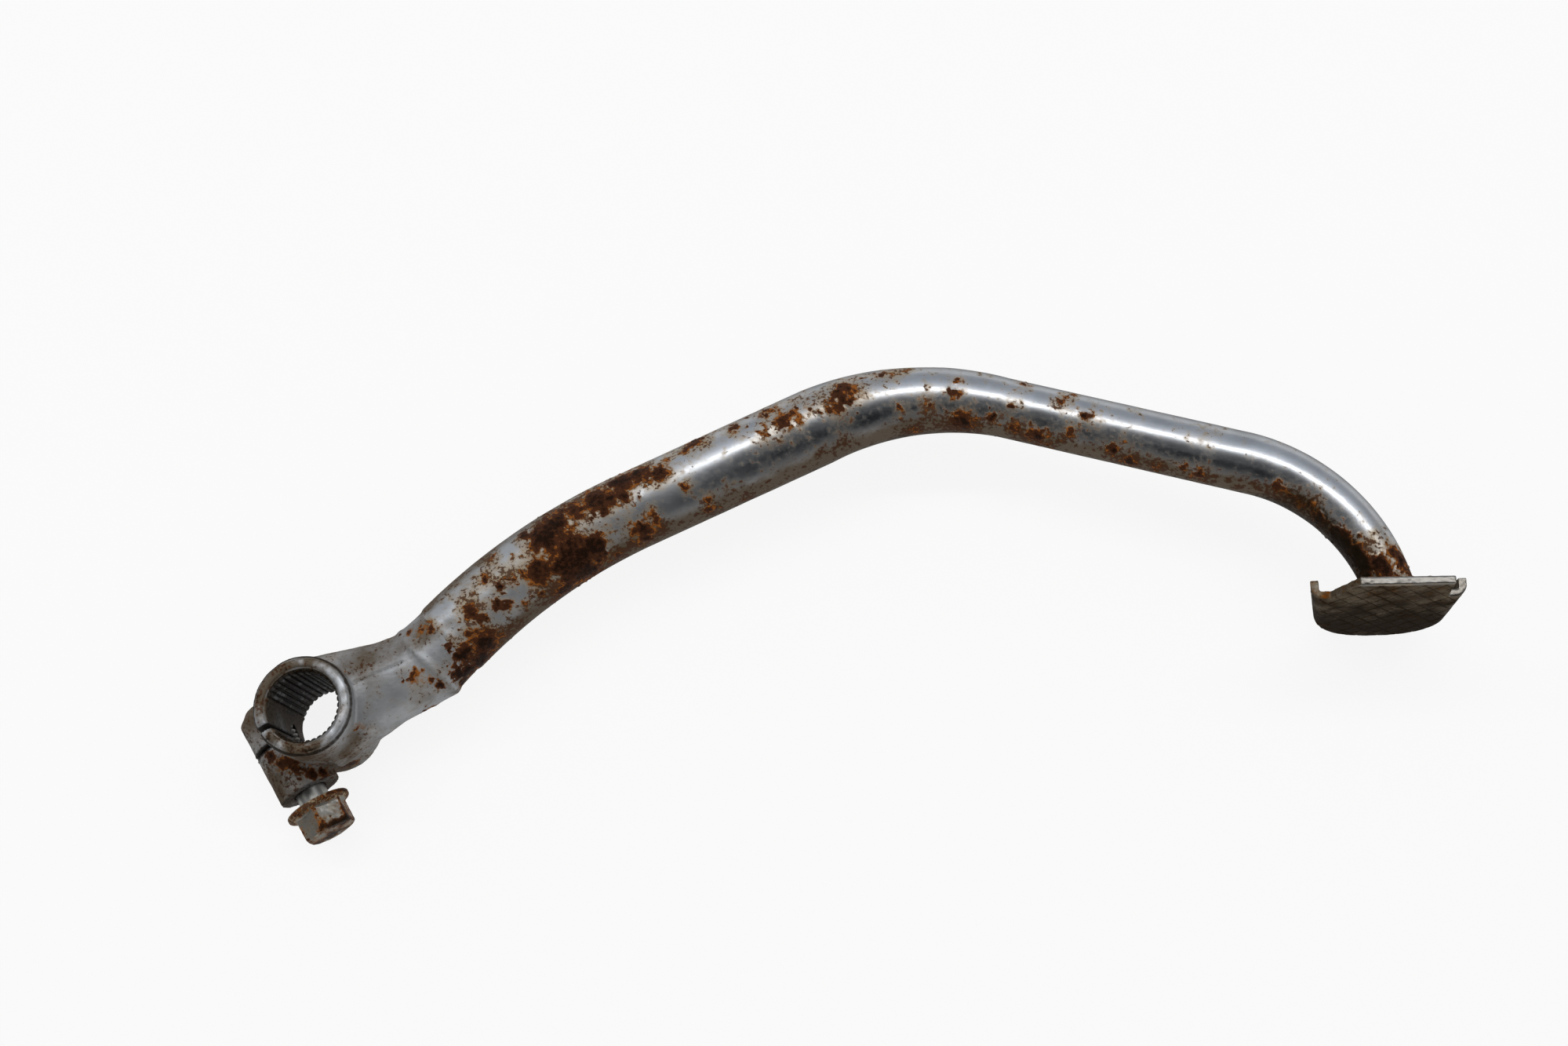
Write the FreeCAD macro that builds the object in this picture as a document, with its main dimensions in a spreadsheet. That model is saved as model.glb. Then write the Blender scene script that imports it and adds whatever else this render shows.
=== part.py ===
import FreeCAD, Part
import math
import os

import Sketcher

# Rear brake pedal of a small motorcycle: a forged hub that clamps on a serrated brake shaft,
# a tapered and bent steel tube, a pressed tread for the foot, and the bolt that pinches the hub.
# Millimetres and degrees. The origin is the middle of the shaft bore and +Z is the bore's axis,
# towards the outside of the machine. +X runs from the hub to the tread, which faces -Y.

SIZES = (
    # Forged hub and its bore
    ("hub_diameter", 25.0, "outside of the hub barrel"),
    ("hub_length", 31.0, "hub barrel along the shaft"),
    ("hub_edge", 1.2, "bevel of the barrel's two rims"),
    ("bore_tip_radius", 8.45, "shaft bore at the crests of the serrations"),
    ("tooth_depth", 0.5, "crest to root of a serration"),
    ("tooth_count", 36, "serrations in a full turn"),
    ("tooth_crest", 0.7, "width of a crest along the bore"),
    ("tooth_root", 0.25, "width of a root"),
    ("bore_mouth_radius", 9.6, "countersink at both mouths of the bore"),
    ("bore_mouth_depth", 0.8, "depth of that countersink"),
    ("relief_upper", 40.0, "arc without serrations above the slot"),
    ("relief_lower", 10.0, "arc without serrations below the slot"),
    # Split lug of the clamp
    ("clamp_angle", 211.0, "direction of the slot from the bore, seen along -Z"),
    ("slot_width", 1.6, "saw cut that lets the hub close on the shaft"),
    ("bolt_offset", 12.35, "bore axis to bolt axis"),
    ("lug_diameter", 15.8, "round lug about the bolt"),
    ("lug_inset", 0.6, "lug's side to the inner face of the hub"),
    ("lug_seat", 13.7, "slot to the seat under the bolt head"),
    ("lug_back", 12.0, "slot to the far end of the threaded ear"),
    ("lug_back_bevel", 2.6, "bevel of that end"),
    # Pinch bolt
    ("bolt_diameter", 7.8, "over the thread"),
    ("bolt_clearance", 0.15, "radial gap between bolt and hole"),
    ("bolt_length", 25.0, "under the flange"),
    ("bolt_tip_bevel", 1.0, "lead at the end of the thread"),
    ("bolt_backed_out", 3.8, "flange to its seat, as the pedal lies"),
    ("flange_diameter", 16.4, "flange of the bolt head"),
    ("flange_rim", 1.0, "edge of the flange"),
    ("flange_height", 2.2, "flange up to the hexagon"),
    ("hex_across_flats", 12.0, "hexagon"),
    ("head_height", 8.0, "flange and hexagon together"),
    ("hex_bevel", 0.8, "drop of the bevelled corners"),
    # Neck of the forging, up to the tube
    ("neck_angle", 22.8, "direction of the neck from +X"),
    ("neck_rise", 0.55, "how far its axis passes the bore"),
    ("neck_root_diameter", 24.1, "at the bore axis"),
    ("neck_tip_diameter", 18.6, "at its untrimmed end"),
    ("neck_length", 37.0, "untrimmed, from the bore axis"),
    ("flare_width", 2.6, "how far the neck flares out at the bore axis"),
    ("flare_length", 19.0, "bore axis to the end of the flare"),
    ("spigot_length", 9.0, "plug of the forging inside the tube"),
    ("spigot_clearance", 0.3, "radial gap inside the tube"),
    # Arm: runs that taper and bends that don't, in one plane
    ("arm_tilt", 2.4, "rise of the arm's plane towards +Z"),
    ("joint_x", 27.4, "start of the tube"),
    ("joint_y", 13.0, "start of the tube"),
    ("run_1", 9.3, "straight out of the hub"),
    ("run_2", 50.3, "straight between the first two bends"),
    ("run_3", 60.2, "straight between the last two bends"),
    ("run_4", 5.8, "straight down to the tread"),
    ("dir_1", 45.2, "direction of the first run"),
    ("dir_2", 23.5, "direction of the second run"),
    ("dir_3", -15.8, "direction of the third run"),
    ("dir_4", -72.5, "direction of the last run"),
    ("bend_1", 143.0, "bend radius at the tube's axis"),
    ("bend_2", 69.5, "bend radius at the tube's axis"),
    ("bend_3", 45.4, "bend radius at the tube's axis"),
    ("tube_diameter_0", 20.8, "outside, at the hub"),
    ("tube_diameter_1", 19.9, "outside, in the first bend"),
    ("tube_diameter_2", 15.0, "outside, in the second bend"),
    ("tube_diameter_3", 12.1, "outside, from the third bend to the tread"),
    ("tube_wall", 1.8, "wall of the tube"),
    ("tube_trim", 6.0, "length past the tread's face, trimmed to fit it"),
    # Pressed tread
    ("tread_width", 35.6, "across the tread, along X"),
    ("tread_length", 49.5, "along the shaft's direction"),
    ("sheet", 2.0, "steel sheet"),
    ("rim_height", 4.6, "turned-up rim, from the tread's face"),
    ("rim_bend", 3.2, "outside radius of the rim's bend"),
    ("corner_share", 0.49, "corner radius, as a share of the rim's closed end"),
    ("rim_lean", 6.5, "how far the hub side's rim closes in"),
    ("free_start", 9.5, "hub side to the straight edge without a rim"),
    ("notch_length", 11.5, "rim left out on either side of it"),
    ("notch_step", 4.5, "foot of the slanting cut, in from the rim"),
    ("notch_slant", 0.4, "how far the far side's cut slants in"),
    ("tread_tilt", 2.8, "tread out of square with the shaft"),
    ("landing_x", 3.6, "tube's landing, from the tread's middle"),
    ("landing_z", 1.7, "tube's landing, from the tread's middle"),
    # Weld beads
    ("hub_bead_width", 3.4, "bead round the joint of neck and tube"),
    ("hub_bead_height", 0.4, "crown of that bead above the tube"),
    ("pad_bead_leg", 2.6, "bead on the tread, out from the tube"),
    ("pad_bead_height", 4.5, "bead up the tube"),
)

# What follows from the sizes: the bolt's place along the shaft, the tread's corners, pitch and
# number of the serrations, and where each run of the arm and each bend begins. Every bend turns
# right. The last place is on the tread's inner face.
DERIVED = [
    ("bolt_level", "=(lug_diameter - hub_length) / 2 + lug_inset"),
    ("corner_radius", "=corner_share * (tread_width - rim_lean)"),
    ("tooth_pitch", "=360 / tooth_count"),
    ("tooth_gaps", "=floor((360 - relief_upper - relief_lower) / tooth_pitch)"),
    ("run_1_x", "=joint_x"),
    ("run_1_y", "=joint_y"),
]
for k in (1, 2, 3):
    DERIVED += [
        ("bend_%d_x" % k, "=run_{0}_x + run_{0} * cos(dir_{0})".format(k)),
        ("bend_%d_y" % k, "=run_{0}_y + run_{0} * sin(dir_{0})".format(k)),
        ("run_%d_x" % (k + 1), "=bend_{0}_x + bend_{0} * (sin(dir_{0}) - sin(dir_{1}))".format(k, k + 1)),
        ("run_%d_y" % (k + 1), "=bend_{0}_y + bend_{0} * (cos(dir_{1}) - cos(dir_{0}))".format(k, k + 1)),
    ]
DERIVED += [
    ("arm_end_x", "=run_4_x + run_4 * cos(dir_4)"),
    ("arm_end_y", "=run_4_y + run_4 * sin(dir_4)"),
]

doc = FreeCAD.newDocument("rear_brake_pedal")
sheet = doc.addObject("Spreadsheet::Sheet", "Sizes")
for row, (alias, number, meaning) in enumerate(SIZES, start=1):
    sheet.set("A%d" % row, alias)
    sheet.set("B%d" % row, str(number))
    sheet.set("C%d" % row, meaning)
    sheet.setAlias("B%d" % row, alias)
for row, (alias, formula) in enumerate(DERIVED, start=len(SIZES) + 1):
    sheet.set("A%d" % row, alias)
    sheet.set("B%d" % row, formula)
    sheet.setAlias("B%d" % row, alias)
doc.recompute()


def sized(expression):
    """The expression with each <alias> written as the sheet's cell."""
    return expression.replace("<", "Sizes.").replace(">", "")


def value(expression):
    """The present value of an expression on the sheet."""
    return float(sheet.evalExpression(sized(expression)))


def bind(item, **expressions):
    """Bind properties of an object to expressions on the sheet."""
    for name, expression in expressions.items():
        item.setExpression(name, sized(expression))


def new_body(label, placement):
    body = doc.addObject("PartDesign::Body", label)
    body.Label = label
    bind(body, Placement=placement)
    return body


def attach(feature, body, role, offset=None):
    """Put a sketch or primitive on one of its own body's origin planes."""
    plane = next(item for item in body.Origin.OriginFeatures if item.Role == role)
    feature.AttachmentSupport = (plane, [""])
    feature.MapMode = "FlatFace"
    if offset:
        bind(feature, AttachmentOffset=offset)
    return feature


def new_sketch(body, name, role, offset=None):
    return attach(body.newObject("Sketcher::SketchObject", name), body, role, offset)


def drive(sketch, kind, *args):
    """Add a dimension whose last argument is an expression on the sheet."""
    expression = args[-1]
    number = value(expression)
    index = sketch.addConstraint(Sketcher.Constraint(kind, *args[:-1], number))
    sketch.setExpression("Constraints[%d]" % index, sized(expression))


def fix_point(sketch, geometry, point, x, y):
    """Place a point of a sketch by its two coordinates; "0" puts it on an axis."""
    for kind, axis, expression in (("DistanceX", -2, x), ("DistanceY", -1, y)):
        if expression == "0":
            sketch.addConstraint(Sketcher.Constraint("PointOnObject", geometry, point, axis))
        else:
            drive(sketch, kind, -1, 1, geometry, point, expression)


def circle(sketch, diameter, x="0", y="0"):
    centre = FreeCAD.Vector(value(x), value(y), 0)
    edge = sketch.addGeometry(Part.Circle(centre, FreeCAD.Vector(0, 0, 1), value(diameter) / 2))
    drive(sketch, "Diameter", edge, diameter)
    fix_point(sketch, edge, 3, x, y)


def outline(sketch, corners):
    """A closed outline of straight edges through corners given as pairs of expressions."""
    points = [FreeCAD.Vector(value(x), value(y), 0) for x, y in corners]
    ends = points[1:] + points[:1]
    edges = [sketch.addGeometry(Part.LineSegment(a, b)) for a, b in zip(points, ends)]
    for edge, following in zip(edges, edges[1:] + edges[:1]):
        sketch.addConstraint(Sketcher.Constraint("Coincident", edge, 2, following, 1))
    for edge, (x, y) in zip(edges, corners):
        fix_point(sketch, edge, 1, x, y)


def pad(body, name, sketch, length, side="One side", reverse=False):
    feature = body.newObject("PartDesign::Pad", name)
    feature.Profile = sketch
    feature.SideType = side
    feature.Reversed = reverse
    bind(feature, Length=length)
    doc.recompute()
    return feature


def pocket(body, name, sketch, length, side="Symmetric", reverse=False):
    """Cut a profile out, and make sure that something was cut."""
    before = body.Tip.Shape.Volume
    feature = body.newObject("PartDesign::Pocket", name)
    feature.Profile = sketch
    feature.SideType = side
    feature.Reversed = reverse
    bind(feature, Length=length)
    doc.recompute()
    if feature.Shape.Volume >= before:
        raise RuntimeError(name + " cuts nothing")
    return feature


def turned(body, name, kind, sketch):
    """Revolve a profile about the sketch's upright axis, to add or to cut."""
    feature = body.newObject(kind, name)
    feature.Profile = sketch
    feature.ReferenceAxis = (sketch, ["V_Axis"])
    feature.Angle = 360
    doc.recompute()
    return feature


def dressed(body, name, kind, base, chosen, **sizes):
    """Round or bevel the edges of the base feature that the test picks."""
    names = ["Edge%d" % number for number, edge in enumerate(base.Shape.Edges, start=1) if chosen(edge)]
    if not names:
        raise RuntimeError(name + " finds no edge")
    feature = body.newObject(kind, name)
    feature.Base = (base, names)
    bind(feature, **sizes)
    doc.recompute()
    return feature


def is_ring(edge, radius):
    return isinstance(edge.Curve, Part.Circle) and abs(edge.Curve.Radius - radius) < 1e-4


# The arm's plane: turned about Y so that it rises towards the tread.
ARM_PLANE = "rotationy(-<arm_tilt>)"
# The start of the tube in that plane, looking along its first run.
TUBE_START = ("placement(vector(0; 0; 0); %s) * placement(vector(<joint_x>; <joint_y>; 0); rotationz(<dir_1>))"
              % ARM_PLANE)
# Turns a primitive's upright axis to lie along X, or along Y.
ALONG_X = "placement(vector(0; 0; 0); rotationy(90))"
ALONG_Y = "rotationx(-90)"
CLAMP_TURN = "placement(vector(0; 0; 0); rotationz(<clamp_angle>))"
CLAMP_BACK = "placement(vector(0; 0; 0); rotationz(-<clamp_angle>))"


def make_hub():
    """Forging: barrel, tapering neck with a spigot for the tube, and the split lug.

    The body is turned so that its own X axis lies in the slot and its Y axis along the bolt.
    """
    body = new_body("splined_hub", CLAMP_TURN)
    ring = new_sketch(body, "hub_ring", "XY_Plane")
    circle(ring, "<hub_diameter>")
    pad(body, "hub_barrel", ring, "<hub_length>", side="Symmetric")

    root = "<neck_root_diameter> / 2"
    taper = "(<neck_root_diameter> - <neck_tip_diameter>) / 2 / <neck_length>"
    for name, start, end, length in (
            ("neck", root, "<neck_tip_diameter> / 2", "<neck_length>"),
            ("neck_flare", root + " + <flare_width>", "%s - %s * <flare_length>" % (root, taper), "<flare_length>")):
        cone = attach(body.newObject("PartDesign::AdditiveCone", name), body, "XY_Plane",
                      "%s * placement(vector(0; 0; 0); %s * rotationz(<neck_angle>))"
                      " * placement(vector(0; <neck_rise>; 0); rotationy(90))" % (CLAMP_BACK, ARM_PLANE))
        bind(cone, Radius1=start, Radius2=end, Height=length)
        doc.recompute()

    rims = new_sketch(body, "hub_rims", "XZ_Plane")
    for side in ("", "-"):
        face = side + "<hub_length> / 2"
        below = side + "(<hub_length> / 2 - <hub_edge>)"
        outline(rims, (("<hub_diameter> / 2 - <hub_edge>", face), ("<hub_diameter> / 2", face),
                       ("<hub_diameter> / 2", below)))
    turned(body, "hub_bevels", "PartDesign::Groove", rims)

    trim = new_sketch(body, "neck_trim", "XY_Plane", "%s * %s" % (CLAMP_BACK, TUBE_START))
    outline(trim, (("0", "-<neck_root_diameter>"), ("<neck_length>", "-<neck_root_diameter>"),
                   ("<neck_length>", "<neck_root_diameter>"), ("0", "<neck_root_diameter>")))
    pocket(body, "neck_end", trim, "2 * <neck_root_diameter>")
    spigot = attach(body.newObject("PartDesign::AdditiveCylinder", "spigot"), body, "XY_Plane",
                    "%s * %s * %s" % (CLAMP_BACK, TUBE_START, ALONG_X))
    bind(spigot, Radius="<tube_diameter_0> / 2 - <tube_wall> - <spigot_clearance>",
         Height="<spigot_length>")
    doc.recompute()

    lug = attach(body.newObject("PartDesign::AdditiveCylinder", "lug"), body, "XY_Plane",
                 "placement(vector(<bolt_offset>; <lug_back_bevel> - <lug_back>; <bolt_level>); %s)" % ALONG_Y)
    bind(lug, Radius="<lug_diameter> / 2", Height="<lug_back> - <lug_back_bevel> + <lug_seat>")
    lug_end = attach(body.newObject("PartDesign::AdditiveCone", "lug_end"), body, "XY_Plane",
                     "placement(vector(<bolt_offset>; -<lug_back>; <bolt_level>); %s)" % ALONG_Y)
    bind(lug_end, Radius1="<lug_diameter> / 2 - <lug_back_bevel>", Radius2="<lug_diameter> / 2",
         Height="<lug_back_bevel>")
    doc.recompute()

    through = "2 * <hub_length>"
    bore = new_sketch(body, "bore", "XY_Plane")
    circle(bore, "2 * <bore_tip_radius>")
    pocket(body, "bore_cut", bore, through)
    mouths = new_sketch(body, "bore_mouths", "XZ_Plane")
    for side in ("", "-"):
        face = side + "<hub_length> / 2"
        depth = side + "(<hub_length> / 2 - <bore_mouth_depth>)"
        outline(mouths, (("0", face), ("<bore_mouth_radius>", face),
                         ("(<bore_mouth_radius> + <bore_tip_radius> + <tooth_depth>) / 2", depth), ("0", depth)))
    turned(body, "countersinks", "PartDesign::Groove", mouths)

    gap = new_sketch(body, "tooth_gap", "XY_Plane",
                     "placement(vector(0; 0; 0); rotationz(<relief_lower> + <tooth_pitch> / 2))")
    crest_gap = "(2 * pi * <bore_tip_radius> / <tooth_count> - <tooth_crest>) / 2"
    outline(gap, (("<bore_tip_radius> - <tooth_depth>", crest_gap), ("<bore_tip_radius>", crest_gap),
                  ("<bore_tip_radius> + <tooth_depth>", "<tooth_root> / 2"),
                  ("<bore_tip_radius> + <tooth_depth>", "-<tooth_root> / 2"),
                  ("<bore_tip_radius>", "-" + crest_gap), ("<bore_tip_radius> - <tooth_depth>", "-" + crest_gap)))
    first_gap = pocket(body, "first_gap", gap, through)
    serrations = body.newObject("PartDesign::PolarPattern", "serrations")
    serrations.Originals = [first_gap]
    serrations.Axis = (gap, ["N_Axis"])
    bind(serrations, Angle="(<tooth_gaps> - 1) * <tooth_pitch>", Occurrences="<tooth_gaps>")
    body.Tip = serrations
    doc.recompute()

    relief = new_sketch(body, "relief", "XY_Plane")
    add_sector(relief, "<bore_tip_radius> + <tooth_depth>", "-<relief_upper>", "<relief_lower>")
    pocket(body, "relief_cut", relief, through)

    slot = new_sketch(body, "slot", "XY_Plane")
    outline(slot, (("0", "-<slot_width> / 2"), ("<bolt_offset> + <lug_diameter>", "-<slot_width> / 2"),
                   ("<bolt_offset> + <lug_diameter>", "<slot_width> / 2"), ("0", "<slot_width> / 2")))
    pocket(body, "slot_cut", slot, through)
    hole = new_sketch(body, "bolt_hole", "XZ_Plane")
    circle(hole, "<bolt_diameter> + 2 * <bolt_clearance>", "<bolt_offset>", "<bolt_level>")
    pocket(body, "bolt_hole_cut", hole, "2 * (<lug_back> + <lug_seat>)")
    return body


def add_sector(sketch, radius, start, end):
    """A pie-shaped outline about the sketch's origin, between two directions in degrees."""
    reach = value(radius)
    turn = [math.radians(value(angle)) for angle in (start, end)]
    round_part = Part.ArcOfCircle(Part.Circle(FreeCAD.Vector(), FreeCAD.Vector(0, 0, 1), reach), *turn)
    arc = sketch.addGeometry(round_part)
    first = sketch.addGeometry(Part.LineSegment(FreeCAD.Vector(), round_part.StartPoint))
    second = sketch.addGeometry(Part.LineSegment(FreeCAD.Vector(), round_part.EndPoint))
    sketch.addConstraint(Sketcher.Constraint("Coincident", arc, 3, -1, 1))
    for line, end_point in ((first, 1), (second, 2)):
        sketch.addConstraint(Sketcher.Constraint("Coincident", line, 1, -1, 1))
        sketch.addConstraint(Sketcher.Constraint("Coincident", line, 2, arc, end_point))
    drive(sketch, "Radius", arc, radius)
    for line, angle in ((first, start), (second, end)):
        index = sketch.addConstraint(Sketcher.Constraint("Angle", line, math.radians(value(angle))))
        sketch.setExpression("Constraints[%d]" % index, sized("(%s) * 1deg" % angle))


# The arm's landing on the tread's inner face; Z points up the arm and Y at the hub's inner end.
LANDING = ("placement(vector(<arm_end_x> * cos(<arm_tilt>); <arm_end_y>; <arm_end_x> * sin(<arm_tilt>));"
           " rotationx(-90 - <tread_tilt>))")


def make_arm():
    """Tube drawn to a taper on its runs and bent in one plane, its end trimmed to the tread.

    It is closed at both ends, so its hollow is modelled only where the hub's spigot goes in.
    """
    body = new_body("arm_tube", "placement(vector(0; 0; 0); %s)" % ARM_PLANE)

    def add(kind, name, place, **sizes):
        feature = attach(body.newObject("PartDesign::" + kind, name), body, "XY_Plane", place)
        bind(feature, **sizes)
        doc.recompute()

    run = "placement(vector(<run_{0}_x>; <run_{0}_y>; 0); rotationz(<dir_{0}>)) * " + ALONG_X
    for k in (1, 2, 3):
        add("AdditiveCone", "run_%d" % k, run.format(k), Height="<run_%d>" % k,
            Radius1="<tube_diameter_%d> / 2" % (k - 1), Radius2="<tube_diameter_%d> / 2" % k)
        add("AdditiveTorus", "bend_%d" % k,
            "placement(vector(<bend_{0}_x> + <bend_{0}> * sin(<dir_{0}>);"
            " <bend_{0}_y> - <bend_{0}> * cos(<dir_{0}>); 0); rotationz(<dir_{1}> + 90))".format(k, k + 1),
            Radius1="<bend_%d>" % k, Radius2="<tube_diameter_%d> / 2" % k,
            Angle3="<dir_%d> - <dir_%d>" % (k, k + 1))
    add("AdditiveCylinder", "run_4", run.format(4), Height="<run_4> + <tube_trim>",
        Radius="<tube_diameter_3> / 2")
    add("SubtractiveCylinder", "socket", run.format(1), Height="<spigot_length> + <spigot_clearance>",
        Radius="<tube_diameter_0> / 2 - <tube_wall>")
    trim = new_sketch(body, "arm_trim", "XY_Plane",
                      "placement(vector(0; 0; 0); rotationy(<arm_tilt>)) * " + LANDING)
    reach = "2 * <tube_diameter_3>"
    outline(trim, (("-" + reach, "-" + reach), (reach, "-" + reach), (reach, reach), ("-" + reach, reach)))
    pocket(body, "arm_end", trim, reach + " + <tube_trim>", side="One side")
    return body


def make_tread():
    """Pressed sheet: flat tread with a turned-up rim on three sides and one free edge."""
    body = new_body("tread_pad", LANDING)
    left = "-<tread_width> / 2"
    right = "<tread_width> / 2"
    free = "-<tread_length> / 2"
    closed = "<tread_length> / 2"
    leaning = "<rim_lean> - <tread_width> / 2"
    rim_end = "<notch_length> - <tread_length> / 2"
    blank = new_sketch(body, "tread_blank", "XY_Plane",
                       "placement(vector(-<landing_x>; <landing_z>; -<sheet>); rotationz(0))")
    outline(blank, ((left, rim_end), ("<notch_step> - <tread_width> / 2", rim_end),
                    ("<free_start> - <tread_width> / 2", free),
                    ("<tread_width> / 2 - <notch_step> - <notch_slant>", free),
                    ("<tread_width> / 2 - <notch_step>", rim_end), (right, rim_end),
                    (right, closed), (leaning, closed)))
    block = pad(body, "tread_block", blank, "<rim_height>")

    middle = FreeCAD.Vector(value("-<landing_x>"), value("<landing_z>"), value("-<sheet>"))

    def upright_at(x, y):
        corner = middle + FreeCAD.Vector(value(x), value(y), 0)
        return lambda edge: all(math.hypot(point.X - corner.x, point.Y - corner.y) < 1e-4
                                for point in edge.Vertexes)

    for name, x in (("hub_side_corner", leaning), ("far_side_corner", right)):
        block = dressed(body, name, "PartDesign::Fillet", block, upright_at(x, closed), Radius="<corner_radius>")

    def opened(face):
        """The top of the block, the free edge and the cuts on either side of it."""
        facing = face.normalAt(0, 0)
        return isinstance(face.Surface, Part.Plane) and (facing.z > 0.999 or facing.y < -1e-3)

    faces = ["Face%d" % number for number, face in enumerate(block.Shape.Faces, start=1) if opened(face)]
    pan = body.newObject("PartDesign::Thickness", "tread_sheet")
    pan.Base = (block, faces)
    pan.Reversed = True
    bind(pan, Value="<sheet>")
    doc.recompute()
    side = middle.x + value(right)

    def on_tread_rim(edge):
        return all(math.hypot(point.Z - middle.z, point.X - side) < 1e-4 for point in edge.Vertexes)

    dressed(body, "tread_bend", "PartDesign::Fillet", pan, on_tread_rim, Radius="<rim_bend>")
    return body


def make_bolt():
    """Hexagon flange bolt, backed out of its seat. Its own Z axis points out of the lug."""
    body = new_body("pinch_bolt", "%s * placement(vector(<bolt_offset>; <lug_seat> + <bolt_backed_out>;"
                                  " <bolt_level>); %s)" % (CLAMP_TURN, ALONG_Y))
    head = new_sketch(body, "bolt_flange", "XZ_Plane")
    outline(head, (("0", "0"), ("<flange_diameter> / 2", "0"), ("<flange_diameter> / 2", "<flange_rim>"),
                   ("<hex_across_flats> / 2", "<flange_height>"), ("0", "<flange_height>")))
    turned(body, "flange", "PartDesign::Revolution", head)
    corner = "<hex_across_flats> / sqrt(3)"
    hexagon = new_sketch(body, "bolt_hexagon", "XY_Plane")
    outline(hexagon, [("%s * cos(%d)" % (corner, angle), "%s * sin(%d)" % (corner, angle))
                      for angle in range(30, 390, 60)])
    pad(body, "hexagon", hexagon, "<head_height>")
    bevel = new_sketch(body, "bolt_bevel", "XZ_Plane")
    outline(bevel, (("<hex_across_flats> / 2", "<head_height>"), (corner, "<head_height>"),
                    (corner, "<head_height> - <hex_bevel>")))
    turned(body, "hexagon_bevel", "PartDesign::Groove", bevel)
    thread = new_sketch(body, "bolt_thread", "XY_Plane")
    circle(thread, "<bolt_diameter>")
    shank = pad(body, "thread", thread, "<bolt_length>", reverse=True)
    radius = value("<bolt_diameter> / 2")
    tip = -value("<bolt_length>")
    dressed(body, "thread_lead", "PartDesign::Chamfer", shank,
            lambda edge: is_ring(edge, radius) and abs(edge.Curve.Center.z - tip) < 1e-4,
            Size="<bolt_tip_bevel>")
    return body


def primitive(kind, name, placement, **sizes):
    item = doc.addObject(kind, name)
    bind(item, Placement=placement, **sizes)
    return item


def cut(name, base, tools):
    """Weld metal that fills the room its neighbours leave."""
    for number, tool in enumerate(tools, start=1):
        result = doc.addObject("Part::Cut", "%s_%d" % (name, number))
        result.Base = base
        result.Tool = tool
        base = result
    return base


def make_welds(hub, arm):
    """Bead round the joint of neck and tube, and fillet bead where the tube stands on the tread."""
    ring = new_body("hub_bead", "%s * %s" % (TUBE_START, ALONG_X))
    crown = new_sketch(ring, "bead_crown", "XZ_Plane")
    root = "<tube_diameter_0> / 2 - <tube_wall> / 2"
    top = "<tube_diameter_0> / 2 + <hub_bead_height>"
    outline(crown, ((root, "-<hub_bead_width> / 2"), (top, "-<hub_bead_width> / 6"),
                    (top, "<hub_bead_width> / 6"), (root, "<hub_bead_width> / 2")))
    turned(ring, "bead", "PartDesign::Revolution", crown)
    hub_weld = cut("hub_bead_cut", ring, (hub, arm))
    up_the_tube = ("placement(vector(0; 0; 0); %s) * placement(vector(<arm_end_x>; <arm_end_y>; 0);"
                   " rotationz(<dir_4>)) * placement(vector(-<pad_bead_height>; 0; 0); rotationy(90))" % ARM_PLANE)
    fillet = primitive("Part::Cone", "pad_bead", up_the_tube,
                       Radius1="<tube_diameter_3> / 2", Height="2 * <pad_bead_height>",
                       Radius2="<tube_diameter_3> / 2 + 2 * <pad_bead_leg>")
    core = primitive("Part::Cylinder", "tube_core", up_the_tube,
                     Radius="(<tube_diameter_3> - <tube_wall>) / 2", Height="2 * <pad_bead_height>")
    below = primitive("Part::Box", "tread_room",
                      LANDING + " * placement(vector(-<tread_length>; -<tread_length>; -<tread_length>); rotationz(0))",
                      Length="2 * <tread_length>", Width="2 * <tread_length>", Height="<tread_length>")
    pad_weld = cut("pad_bead_cut", fillet, (arm, core, below))
    beads = doc.addObject("Part::Compound", "weld_beads")
    beads.Links = [hub_weld, pad_weld]
    doc.recompute()
    return beads


hub_part = make_hub()
arm_part = make_arm()
parts = [hub_part, arm_part, make_tread(), make_bolt(), make_welds(hub_part, arm_part)]
doc.recompute()

for item in doc.Objects:
    if "Invalid" in item.State or "Error" in item.State:
        raise RuntimeError("%s failed: %s" % (item.Label, item.State))
for part in parts:
    if part.Shape.isNull() or not part.Shape.isValid():
        raise RuntimeError(part.Label + " has no valid shape")
    box = part.Shape.BoundBox
    print("%-12s solids %d  volume %9.1f  x %.2f..%.2f  y %.2f..%.2f  z %.2f..%.2f" % (
        part.Label, len(part.Shape.Solids), part.Shape.Volume,
        box.XMin, box.XMax, box.YMin, box.YMax, box.ZMin, box.ZMax))

os.makedirs("parts", exist_ok=True)
for part in parts:
    part.Shape.exportStep("parts/%s.step" % part.Label)
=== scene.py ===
import math

import bmesh
import bpy
import numpy as np
from mathutils import Matrix, Vector, noise


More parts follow.
